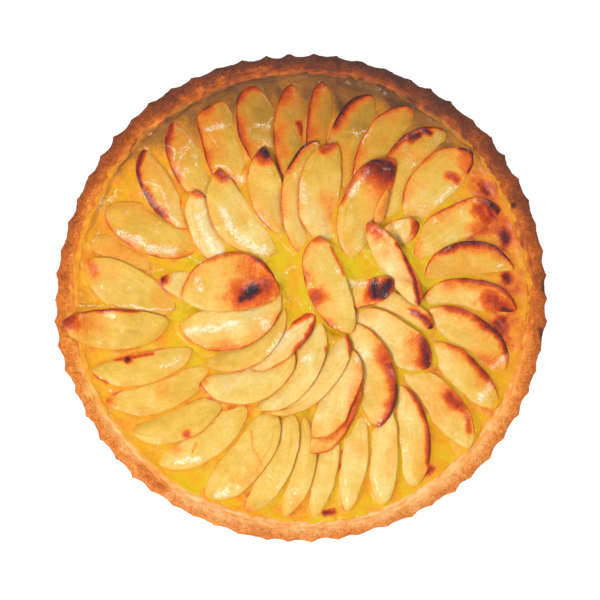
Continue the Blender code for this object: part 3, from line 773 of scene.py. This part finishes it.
def slice_surface(grid):
    """A slice's fine points row by row, still even: which of them are on top, how far each is from the peel
    edge, the core edge, the nearer tip and the nearest edge, and how far along from the middle."""
    steps = np.linspace(0, 1, SLICE_ROWS)
    along = (1 - ROW_CROWDING) * (2 * steps - 1) - ROW_CROWDING * np.cos(math.pi * steps)
    along = np.clip(along, -LAST_ROW, LAST_ROW)
    rows = spline_rows(grid, np.arccos(-along) * (STATIONS - 1) / math.pi)
    shares, heights = slice_ring()
    core, peel = rows[:, 0, :2], rows[:, -1, :2]
    plan = core[:, None] + (peel - core)[:, None] * shares[None, :, None]
    levels = np.einsum("rcv,kc->rkv", rows, curve_weights(shares, COLUMN_SHARES))
    bottom, top = levels[:, :, 2], levels[:, :, 3]
    thickness = top - bottom

    width = np.linalg.norm(peel - core, axis=1)[:, None]
    along = along[:, None] * np.linalg.norm(grid[-1, 0, :2] - grid[0, 0, :2]) / 2
    to_peel = (1 - shares) * width
    to_core = shares * width
    to_tip = np.linalg.norm(grid[-1, 0, :2] - grid[0, 0, :2]) / 2 - np.abs(along)
    edge = np.minimum(np.minimum(to_peel, to_core * 1.2), to_tip * 1.3)

    rounding = np.minimum(EDGE_ROUNDING, 0.3 * thickness)
    inset = np.clip(1 - edge / rounding, 0, 1)
    drop = rounding * (1 - np.sqrt(1 - inset**2))
    drop += np.minimum(SHOULDER_DROP, 0.35 * thickness) * np.clip(1 - edge / SHOULDER_WIDTH, 0, 1) ** 2
    low, high = bottom + 0.4 * rounding, top - drop
    z = np.where(heights == 1, high, low + heights * (high - low))
    surface = SimpleNamespace(on_top=heights == 1, to_peel=to_peel, to_core=to_core, to_tip=to_tip, edge=edge,
                              along=along)
    for title, values in vars(surface).items():
        setattr(surface, title, np.broadcast_to(values, z.shape).ravel())
    surface.points = np.concatenate((plan, z[:, :, None]), axis=2).reshape(-1, 3)
    return surface


def slice_bake(surface, node, number, outlines):
    """How far each point of a slice is browned, with painted shade where another slice lies on it."""
    points, to_peel, to_core, to_tip = surface.points, surface.to_peel, surface.to_core, surface.to_tip
    _, peel_strength, peel_width, *strokes = SLICE_LOOKS[node]
    ragged = rough_noise(points, 4.0, 11 + number)
    uneven = np.clip(1 + 0.9 * noise(points, 7.0, 90 + number), 0.3, 1.6)
    line = fade(to_peel, 0.6 * peel_width * (1 + 0.7 * ragged))
    glow = fade(to_peel, 4.2 * peel_width * (1 + 0.5 * noise(points, 9.0, 190 + number)), 1.2)
    patches = smooth(0.1, 0.8, noise(points, 13.0, 290 + number))
    outer = smooth(30, 100, np.hypot(points[:, 0], points[:, 1]))
    bake = np.max((
        peel_strength * uneven * np.maximum(PEEL_LINE * line, PEEL_GLOW * glow),
        CORE_LINE * fade(to_core, 0.8 * (1 + 0.5 * ragged)),
        EDGE_GLOW * fade(np.minimum(to_core, to_tip), 4.0, 1),
        (0.08 + 0.14 * peel_strength) * fade(to_tip, 3.0),
        (0.06 + 0.14 * outer) * patches,
        browned(points[:, 0], points[:, 1], strokes, ragged, to_peel),
    ), axis=0)
    # Browner toward the back of the tart and at its edges there, partly as painted shade.
    far = back_bake_and_shade(points)
    bake = bake * (1 + 0.25 * far) + 0.08 * far * fade(surface.edge, 2.5, 1)
    # Painted shade on the top where another slice lies over it; the walls are browned evenly.
    top = surface.on_top
    walls_and_contact_shade = np.full(len(points), WALL_BAKE)
    walls_and_contact_shade[top] = CONTACT_SHADE * fade(to_slice_above(points[top], node, outlines), CONTACT_SHADE_WIDTH)
    return np.clip(np.maximum(bake, walls_and_contact_shade * (0.75 + 0.6 * ragged)), 0, 2)


def slice_tone(surface, node, number):
    """How deep each point of a slice is in tone, with one deeper bundle of fibres along the peel edge."""
    points = surface.points
    # Deeper toward the back of the tart, partly as painted shade.
    far = back_bake_and_shade(points)
    draw = np.random.default_rng(500 + number)
    tone = FRONT_TONE + BACK_TONE_AND_SHADE * far + SLICE_LOOKS[node][0] + draw.uniform(-CHANCE_TONE, CHANCE_TONE)
    tone += 0.05 * fade(surface.to_peel, 3.5, 1) + 0.03 * fade(surface.to_core, 3.5, 1)
    tone += 0.06 * fade(surface.to_tip, 6.0, 1)
    from_bundle = surface.to_peel - BUNDLE_PLACE - 0.8 * noise(points, 9.0, 390 + number)
    bundle = fade(from_bundle, BUNDLE_WIDTH) * smooth(-0.2, 0.5, noise(points, 10.0, 490 + number))
    tone += BUNDLE_TONE * bundle
    tone += 0.07 * noise(points, 8.0, 590 + number) + 0.05 * noise(points, 3.0, 690 + number)
    tone += 0.08 * smooth(40, 95, np.hypot(points[:, 0], points[:, 1])) * (1 - far)
    return np.clip(tone, 0, 1)


def make_slice(node, number, finish, outlines):
    surface = slice_surface(slice_grid(node))
    points, on_top = surface.points, surface.on_top
    own = np.full(len(points), number * 3.1)
    grain = np.stack((surface.along / GRAIN_LENGTH, surface.to_core / GRAIN_WIDTH, own), axis=1)
    # The glaze attribute wets the coat and also marks where white painted highlights are drawn.
    values = {"bake": slice_bake(surface, node, number, outlines), "tone": slice_tone(surface, node, number),
              "glaze": glaze_and_highlight(points), "grain": grain}

    lumps = 0.22 * noise(points, 10.0, 31 + number) + 0.14 * noise(points, 4.0, 32 + number)
    lumps += 0.03 * noise(points, 1.6, 33) + 0.22 * values["glaze"] * (1 + noise(points, 2.6, 34))
    burnt = smooth(0.9, 1.8, values["bake"])
    points[:, 2] += np.where(on_top, lumps * smooth(0, 2.5, surface.edge) - BURNT_SINK * burnt, 0)
    for axis in (0, 1):
        seed = 51 + 2 * number + axis
        points[:, axis] += OUTLINE_WANDER * (noise(points, 13.0, seed) + 0.35 * noise(points, 4.5, seed + 1))

    ring = len(points) // SLICE_ROWS
    faces = [tuple(reversed(face)) for face in grid_faces(SLICE_ROWS, ring, closed=True)]
    faces.append(tuple(range(ring)))
    faces.append(tuple(reversed(range(len(points) - ring, len(points)))))
    dress(add_piece(node + "_flesh", points, faces, finish, values), node)


# The custard

CUSTARD_SIDE = 230
CUSTARD_RISE = 0.6
# How far the custard's rim runs on under the slope of the crust, which it meets in an uneven line.
OVERFLOW = 2.4
# The custard clings to the slices that lie on it: how far up their edges, the share of a thin slice's edge
# that it covers, its slope from there, and its highest rise.
CLING = 1.5
CLING_SHARE = 0.5
CLING_SLOPE = 0.55
CLING_RISE = 3.0
# Rays down to the custard start at this height and a little further in, so that those at its rim meet it.
# Rays up find slices within a reach, and the top of a slice within its greatest thickness.
PROBE_HEIGHT = 100.0
PROBE_INWARD = 0.97
SLICE_REACH = 5.5
THICKEST = 12.0
# The hidden wall of the custard leans in to this share of its radius.
FOOT_SHARE = 0.965


def disc_plan(side):
    """A square grid of places bent into a disc of radius 1."""
    line = np.linspace(-1, 1, side)
    x, y = np.meshgrid(line, line, indexing="ij")
    return x * np.sqrt(1 - y**2 / 2), y * np.sqrt(1 - x**2 / 2)


def blurred(values, times):
    """The grid's values, each mixed this many times with its four neighbours."""
    for _ in range(times):
        padded = np.pad(values, 1, mode="edge")
        around = padded[:-2, 1:-1] + padded[2:, 1:-1] + padded[1:-1, :-2] + padded[1:-1, 2:]
        values = (around + 4 * values) / 8
    return values


def clinging(heights, cell):
    """Each height carried on to its neighbours, falling by the slope at which the custard clings."""
    for _ in range(8):
        padded = np.pad(heights, 1, mode="edge")
        side = len(heights)
        for row, column in ((0, 1), (1, 0), (1, 2), (2, 1)):
            neighbour = padded[row : row + side, column : column + side]
            heights = np.maximum(heights, neighbour - CLING_SLOPE * cell)
    return heights


def custard_heights(x, y, cell):
    """The custard's height at these places, and from 0 to 1 how near a slice is that lies on it."""
    custard, slices = nodes_tree(["custard"]), nodes_tree(SLICE_LOOKS)
    height = np.empty(x.shape)
    edge = np.full(x.shape, -np.inf)
    down, up = Vector((0, 0, -1)), Vector((0, 0, 1))
    for place in np.ndindex(x.shape):
        probe = Vector((x[place] * PROBE_INWARD * MM, y[place] * PROBE_INWARD * MM, PROBE_HEIGHT * MM))
        hit = custard.ray_cast(probe, down)[0]
        height[place] = hit.z / MM
        start = Vector((x[place] * MM, y[place] * MM, hit.z - MM))
        above = slices.ray_cast(start, up, SLICE_REACH * MM)[0]
        if above is not None:
            upper = slices.ray_cast(above + up * 0.05 * MM, up, THICKEST * MM)[0]
            thickness = (upper.z - above.z) / MM if upper else 0.0
            edge[place] = above.z / MM + min(CLING, CLING_SHARE * thickness)
    height = blurred(height, 12) + CUSTARD_RISE
    height = np.maximum(height, np.minimum(clinging(edge, cell), height + CLING_RISE))
    return blurred(height, 2), blurred(np.isfinite(edge).astype(float), 5)


def custard_bake(top, beside, ragged):
    """How far the custard is browned: in its strokes and golden in patches, and golden darker beside the
    slices, partly as painted shade.
    """
    x, y = top[:, 0], top[:, 1]
    golden = 0.26 * smooth(0.0, 0.8, noise(top, 8.0, 78) + 0.4 * noise(top, 2.6, 79))
    # Beside the slices: a golden darkening, partly painted shade.
    golden += 0.24 * smooth(0.1, 0.6, beside) * (1 - 0.7 * smooth(0, 70, x))
    golden *= (0.25 + 0.75 * smooth(20, 80, np.hypot(x, y))) * (1 - 0.8 * back_bake_and_shade(top))
    bake = np.maximum(browned(x, y, CUSTARD_BROWNING, ragged), golden)
    bake *= 1 + (0.5 * noise(top, 5.0, 87) + 0.4 * noise(top, 2.4, 88)) * smooth(50, 100, x)
    return np.clip(bake, 0, 2)


def custard_tone(top, to_wall, ragged):
    """How deep the custard is in tone: deepest at its back, partly as painted shade; deeper along its wall,
    in its darker strokes, and in the painted shade of the seam.
    """
    x, y = top[:, 0], top[:, 1]
    right = smooth(60, 115, x + 0.25 * y)
    left = smooth(50, 110, 0.5 * y - x)
    back = smooth(30, 110, y - 0.3 * np.abs(x)) * (1 - 0.4 * smooth(-30, 40, -x))
    # Deeper at the back of the tart, partly as painted shade.
    tone = 0.03 + 0.5 * back_bake_and_shade(top) + 0.1 * right + 0.1 * left
    tone += (0.04 + 0.22 * back) * fade(to_wall, 8.0, 1)
    tone += 0.08 * smooth(50, 120, np.hypot(x, y)) + 0.16 * noise(top, 7.0, 77)
    tone += browned(x, y, CUSTARD_DARK_STROKES, ragged)
    # The painted shade of the seam.
    tone += 0.08 * fade(to_wall, 0.9) * smooth(-60, 60, y - x) + 0.3 * painted_seam_shade(top)
    return np.clip(tone, 0, 1)


def make_custard(finish, wall_radius):
    side = CUSTARD_SIDE
    x, y = disc_plan(side)
    reach = wall_radius(np.arctan2(y, x)) + OVERFLOW
    x, y = x * reach, y * reach
    height, beside = custard_heights(x, y, 2 * reach.mean() / side)
    top = np.stack((x, y, height), axis=-1).reshape(-1, 3)
    to_wall = np.maximum(reach - OVERFLOW - np.hypot(x, y), 0).ravel()
    top[:, 2] += 0.12 * noise(top, 5.0, 71) + 0.05 * noise(top, 2.2, 72)
    top[:, 2] += (0.9 + 0.7 * noise(top, 9.0, 75) + 0.5 * noise(top, 3.5, 76)) * fade(to_wall, 1.7, 1)
    ragged = rough_noise(top, 6.0, 73)
    # The glaze attribute wets the coat and also marks where white painted highlights are drawn.
    values = {"bake": custard_bake(top, beside.ravel(), ragged), "tone": custard_tone(top, to_wall, ragged),
              "glaze": glaze_and_highlight(top)}

    faces = [tuple(reversed(face)) for face in grid_faces(side, side, closed=False)]
    index = np.arange(side * side).reshape(side, side)
    border = np.concatenate((index[0, :-1], index[:-1, -1], index[-1, :0:-1], index[:0:-1, 0]))
    low = top[border] * (FOOT_SHARE, FOOT_SHARE, 1.0)
    low[:, 2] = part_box("custard")[0][2] / MM
    count, length = len(top), len(border)
    for i in range(length):
        j = (i + 1) % length
        faces.append((int(border[i]), int(border[j]), count + j, count + i))
    faces.append(tuple(range(count, count + length)))
    values = {title: np.pad(numbers, (0, length)) for title, numbers in values.items()}
    piece = add_piece("custard_filling", np.concatenate((top, low)), faces, finish, values)
    dress(piece, "custard")


# The crust

COLUMNS_PER_FLUTE = 18
# Rows between the crust's profile points: chamfer, outer side, shoulder, rim, crest, slope, hidden wall.
ROWS_BETWEEN = (1, 26, 8, 7, 8, 8, 3)
# Those of them that run in a curve, the profile point where the hidden wall starts, and how far the shoulder
# bulges up where its curve starts.
CURVED = (2, 3, 4, 5)
WALL_POINT = 6
SHOULDER_BULGE = 0.6
# Where the rows of the underside lie, as shares of its radius.
BASE_ROWS = (0.03, 0.2, 0.4, 0.6, 0.75, 0.87, 0.94, 0.98)
# Profile points below this height belong to the base and its chamfer, or to the foot of the hidden wall.
LOW_POINTS = 10.0
SAME_ANGLE = 0.002


def crust_profile_points():
    """The angle of each column of the solid, the first at a cusp, and its profile as (radius, height)."""
    points = node_points("crust")
    radius = np.hypot(points[:, 0], points[:, 1])
    angle = np.arctan2(points[:, 1], points[:, 0]) % (2 * math.pi)
    groups = []
    for index in np.argsort(angle, kind="stable"):
        if groups and abs(angle[index] - angle[groups[-1][0]]) < SAME_ANGLE:
            groups[-1].append(index)
        else:
            groups.append([index])
    if angle[groups[-1][0]] + SAME_ANGLE > 2 * math.pi + angle[groups[0][0]]:
        groups[0] += groups.pop()
    columns = []
    for group in groups:
        low = sorted((i for i in group if points[i, 2] < LOW_POINTS), key=lambda i: points[i, 2])
        high = sorted((i for i in group if points[i, 2] >= LOW_POINTS), key=lambda i: -radius[i])
        columns.append([(radius[i], points[i, 2]) for i in low[:2] + high + low[2:]])
    angles = np.array([angle[group[0]] for group in groups])
    columns = np.array(columns)
    reach = [columns[shift::FLUTE_COLUMNS, 2, 0].mean() for shift in range(FLUTE_COLUMNS)]
    shift = int(np.argmax(reach))
    angles = np.roll(angles, -shift)
    angles = np.where(angles < angles[0] - 1e-6, angles + 2 * math.pi, angles)
    return angles, np.roll(columns, -shift, axis=0)


def fine_columns(angles, columns):
    """The flutes' columns at a fine pitch: a smooth hollow through each flute's points, sharp at a cusp."""
    shares = np.arange(COLUMNS_PER_FLUTE) / COLUMNS_PER_FLUTE
    weights = curve_weights(shares, np.linspace(0, 1, FLUTE_COLUMNS + 1))
    fine_angles, fine = [], []
    for first in range(0, len(angles), FLUTE_COLUMNS):
        chosen = [(first + k) % len(angles) for k in range(FLUTE_COLUMNS + 1)]
        turned = [angles[c] + (2 * math.pi if c < first else 0) for c in chosen]
        fine_angles.append(weights @ np.array(turned))
        fine.append(np.einsum("sk,kpv->spv", weights, columns[chosen]))
    return np.concatenate(fine_angles), np.concatenate(fine)


def crust_rows(columns):
    """The crust's rows from near the middle of its underside, out, up, over and down to the foot of the
    hidden wall, and the kind of each: its profile point's number and how far it is on to the next one."""
    rows = [columns[:, 0] * (share, 1.0) for share in BASE_ROWS]
    kinds = [0.0] * len(BASE_ROWS)
    for part, count in enumerate(ROWS_BETWEEN):
        before, start, end = columns[:, max(part - 1, 0)], columns[:, part], columns[:, part + 1]
        after = columns[:, min(part + 2, columns.shape[1] - 1)]
        first = 0.5 * (end - before) if part > CURVED[0] else 0.5 * (end - start) + (0, SHOULDER_BULGE)
        last = 0.5 * (after - start)
        for t in np.arange(count) / count:
            if part in CURVED:
                row = ((2 * t**3 - 3 * t**2 + 1) * start + (t**3 - 2 * t**2 + t) * first
                       + (-2 * t**3 + 3 * t**2) * end + (t**3 - t**2) * last)
            else:
                row = start + (end - start) * t
            rows.append(row)
            kinds.append(part + t)
    rows.append(columns[:, -1])
    kinds.append(float(len(ROWS_BETWEEN)))
    return np.array(rows), np.array(kinds)


def round_the_tart(degrees, marks):
    """The value at each angle on straight lines between the marks, which close at 360 degrees."""
    return np.interp(degrees, [place for place, _ in marks], [value for _, value in marks], period=360)


def crust_bake(points, degrees, kind, crumbly, seam):
    """How far each point of the crust is baked; darker at the back partly as painted shade."""
    # By angle: darker at the back, partly as painted shade.
    bake = round_the_tart(degrees, CRUST_BAKE_AND_SHADE)
    bake = bake - round_the_tart(degrees, CRUST_SLOPE) * smooth(3.1, 4.6, kind)
    bake -= round_the_tart(degrees, CRUST_FOOT) * smooth(4.6, 5.4, kind)
    bake += crumbly * (0.09 * noise(points, 11.0, 27) + 0.05 * noise(points, 4.0, 30))
    bake += 0.04 * fade(kind - 2.2, 0.5)
    side = 1 - smooth(1.7, 2.1, kind)
    height = points[:, 2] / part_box("crust")[1][2] * MM
    bake = np.where(kind < 2, (1 - side) * bake + side * (0.40 + 0.30 * bake + 0.12 * height), bake)
    patchy = 0.5 * noise(points, 6.0, 61) + 0.5 * noise(points, 2.6, 62)
    far_side = smooth(-60, 60, points[:, 1] + 0.4 * points[:, 0])
    bake += patchy * smooth(3.4, 4.2, kind) * (0.10 + 0.12 * far_side)
    # The painted shade of the seam.
    bake += 0.36 * seam
    bake = np.maximum(bake, browned(points[:, 0], points[:, 1], CRUST_SPOTS, rough_noise(points, 4.0, 28)))
    return np.clip(bake, 0, 1.2)


def make_crust(finish):
    """The crust's mesh; gives back the function for the radius of its hidden wall at an angle."""
    angles, columns = fine_columns(*crust_profile_points())
    rows, kinds = crust_rows(columns)
    shape = rows.shape[:2]
    radius, height = rows[:, :, 0], rows[:, :, 1]
    points = np.stack((radius * np.cos(angles), radius * np.sin(angles), height), axis=-1).reshape(-1, 3)
    kind = np.repeat(kinds, shape[1])
    angle = np.tile(angles, shape[0])

    crumbly = smooth(1.75, 2.3, kind) * (1 - smooth(4.1, 4.9, kind))
    outside = smooth(1.0, 1.1, kind) * (1 - smooth(1.9, 2.1, kind))
    inside = smooth(4.4, 5.0, kind) * (1 - smooth(6.0, 6.2, kind))
    lumps = 0.55 * noise(points, 7.0, 21) + 0.5 * noise(points, 2.6, 22) + 0.4 * noise(points, 1.2, 23)
    gentle = 0.4 * noise(points, 6.0, 24) + 0.25 * noise(points, 2.4, 25) + 0.12 * noise(points, 1.2, 26)
    push = crumbly * (lumps - 0.15) + (outside + inside) * gentle
    outward = push * np.where(kind < 2.2, 1.0, np.where(kind > 4.6, -0.55, 0.0))
    points[:, 0] += outward * np.cos(angle)
    points[:, 1] += outward * np.sin(angle)
    points[:, 2] += push * np.where(kind > 1.9, 0.9, 0.0)

    degrees = np.degrees(angle) % 360
    # The seam's painted shade darkens the crust and keeps the custard's smear off it.
    seam = painted_seam_shade(points)
    bake = crust_bake(points, degrees, kind, crumbly, seam)
    wall = columns[:, WALL_POINT, 0]
    from_wall = np.hypot(points[:, 0], points[:, 1]) - np.tile(wall, shape[0])
    smeared = round_the_tart(degrees, CRUST_SMEAR)
    smeared = smeared * (1 + 0.6 * noise(points, 7.0, 64) + 0.4 * noise(points, 2.6, 65))
    smear = smooth(-1.2, 1.2, smeared - from_wall) * smooth(4.0, 4.6, kind) * (1 - 0.9 * np.minimum(seam, 1))
    values = {
        "bake": bake,
        "crumb": np.where(kind < 1, 1.0, np.clip(0.30 + 0.70 * crumbly - 0.12 * inside, 0, 1)),
        "smear": smear,
        # Deeper at the back of the tart, partly as painted shade.
        "tone": 0.30 + 0.40 * back_bake_and_shade(points),
        "grain": np.stack((angle * 24.0, kind * 2.6, np.zeros(len(angle))), axis=1),
        "gold": round_the_tart(degrees, CRUST_GOLD),
    }
    points[:, 2] += 0.5 * smear * (0.4 + noise(points, 2.4, 66))

    faces = grid_faces(*shape, closed=True)
    faces.append(tuple(reversed(range(shape[1]))))
    faces.append(tuple(range(len(points) - shape[1], len(points))))
    dress(add_piece("fluted_crust", points, faces, finish, values), "crust")
    turned = angles % (2 * math.pi)
    order = np.argsort(turned)
    return lambda angle: np.interp(angle % (2 * math.pi), turned[order], wall[order], period=2 * math.pi)


# The stage

# Each light's name, place, size and power; all aim at the same point.
LIGHTS = (
    ("window", (-470, -400, 960), 180, 5.6),
    ("wide_window", (-470, -400, 960), 950, 4.6),
    ("far_window", (480, 620, 850), 380, 3.2),
)
LIGHT_AIM = (0, 0, 20)
LIGHT_COLOUR = (1.0, 0.98, 0.95)
# The world's light by the height of the direction, from the level up to overhead, and its strength.
WORLD_LOW = (0.55, (1.0, 0.985, 0.96, 1))
WORLD_HIGH = (0.97, (0.4, 0.4, 0.4, 1))
WORLD_STRENGTH = 0.58
FLOOR_REACH = 4.0


def area_light(name, place, size, power):
    data = bpy.data.lights.new(name, "AREA")
    data.shape = "DISK"
    data.size = size * MM
    data.energy = power
    data.color = LIGHT_COLOUR
    light = bpy.data.objects.new(name, data)
    light.location = [value * MM for value in place]
    direction = Vector(LIGHT_AIM) - Vector(place)
    light.rotation_euler = direction.to_track_quat("-Z", "Y").to_euler()
    bpy.context.scene.collection.objects.link(light)


def make_world():
    world = bpy.data.worlds.new("studio")
    world.use_nodes = True
    tree = world.node_tree
    direction = tree.nodes.new("ShaderNodeTexCoord")
    split = tree.nodes.new("ShaderNodeSeparateXYZ")
    glow = tree.nodes.new("ShaderNodeValToRGB")
    tree.links.new(direction.outputs["Generated"], split.inputs["Vector"])
    tree.links.new(split.outputs["Z"], glow.inputs["Fac"])
    tree.links.new(glow.outputs["Color"], tree.nodes["Background"].inputs["Color"])
    for element, (position, colour) in zip(glow.color_ramp.elements, (WORLD_LOW, WORLD_HIGH)):
        element.position = position
        element.color = colour
    tree.nodes["Background"].inputs["Strength"].default_value = WORLD_STRENGTH
    bpy.context.scene.world = world
    bpy.context.scene.view_settings.view_transform = "Standard"


def make_floor():
    mesh = bpy.data.meshes.new("floor")
    corners = [(x * FLOOR_REACH, y * FLOOR_REACH, 0) for x, y in ((-1, -1), (1, -1), (1, 1), (-1, 1))]
    mesh.from_pydata(corners, [], [(0, 1, 2, 3)])
    floor = bpy.data.objects.new("floor", mesh)
    bpy.context.scene.collection.objects.link(floor)
    shader = Shader("pale_floor")
    shader.set(Base_Color=(0.25, 0.25, 0.25, 1), Roughness=0.8)
    shader.set(Emission_Color=(1, 1, 1, 1), Emission_Strength=0.95)
    mesh.materials.append(shader.material)


def make_camera():
    data = bpy.data.cameras.new("camera")
    camera = bpy.data.objects.new("camera", data)
    bpy.context.scene.collection.objects.link(camera)
    bpy.context.scene.camera = camera
    data.sensor_width = SENSOR_WIDTH
    data.lens = SENSOR_WIDTH * CAMERA_DISTANCE / (PHOTO_SIDE * MM_PER_PIXEL)
    data.shift_x = (PHOTO_SIDE / 2 - PHOTO_CENTRE[0]) / PHOTO_SIDE
    data.shift_y = (PHOTO_CENTRE[1] - PHOTO_SIDE / 2) / PHOTO_SIDE
    elevation = math.radians(CAMERA_ELEVATION)
    back = CAMERA_DISTANCE * math.cos(elevation)
    above = CAMERA_DISTANCE * math.sin(elevation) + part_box("crust")[1][2] / MM
    camera.location = (0, -back * MM, above * MM)
    camera.rotation_euler = (math.pi / 2 - elevation, 0, 0)


def main():
    make_camera()
    make_world()
    for light in LIGHTS:
        area_light(*light)
    make_floor()
    wall_radius = make_crust(crust_material())
    make_custard(custard_material(), wall_radius)
    apple = apple_material()
    outlines = slice_outlines()
    for number, node in enumerate(SLICE_LOOKS):
        make_slice(node, number, apple, outlines)


main()
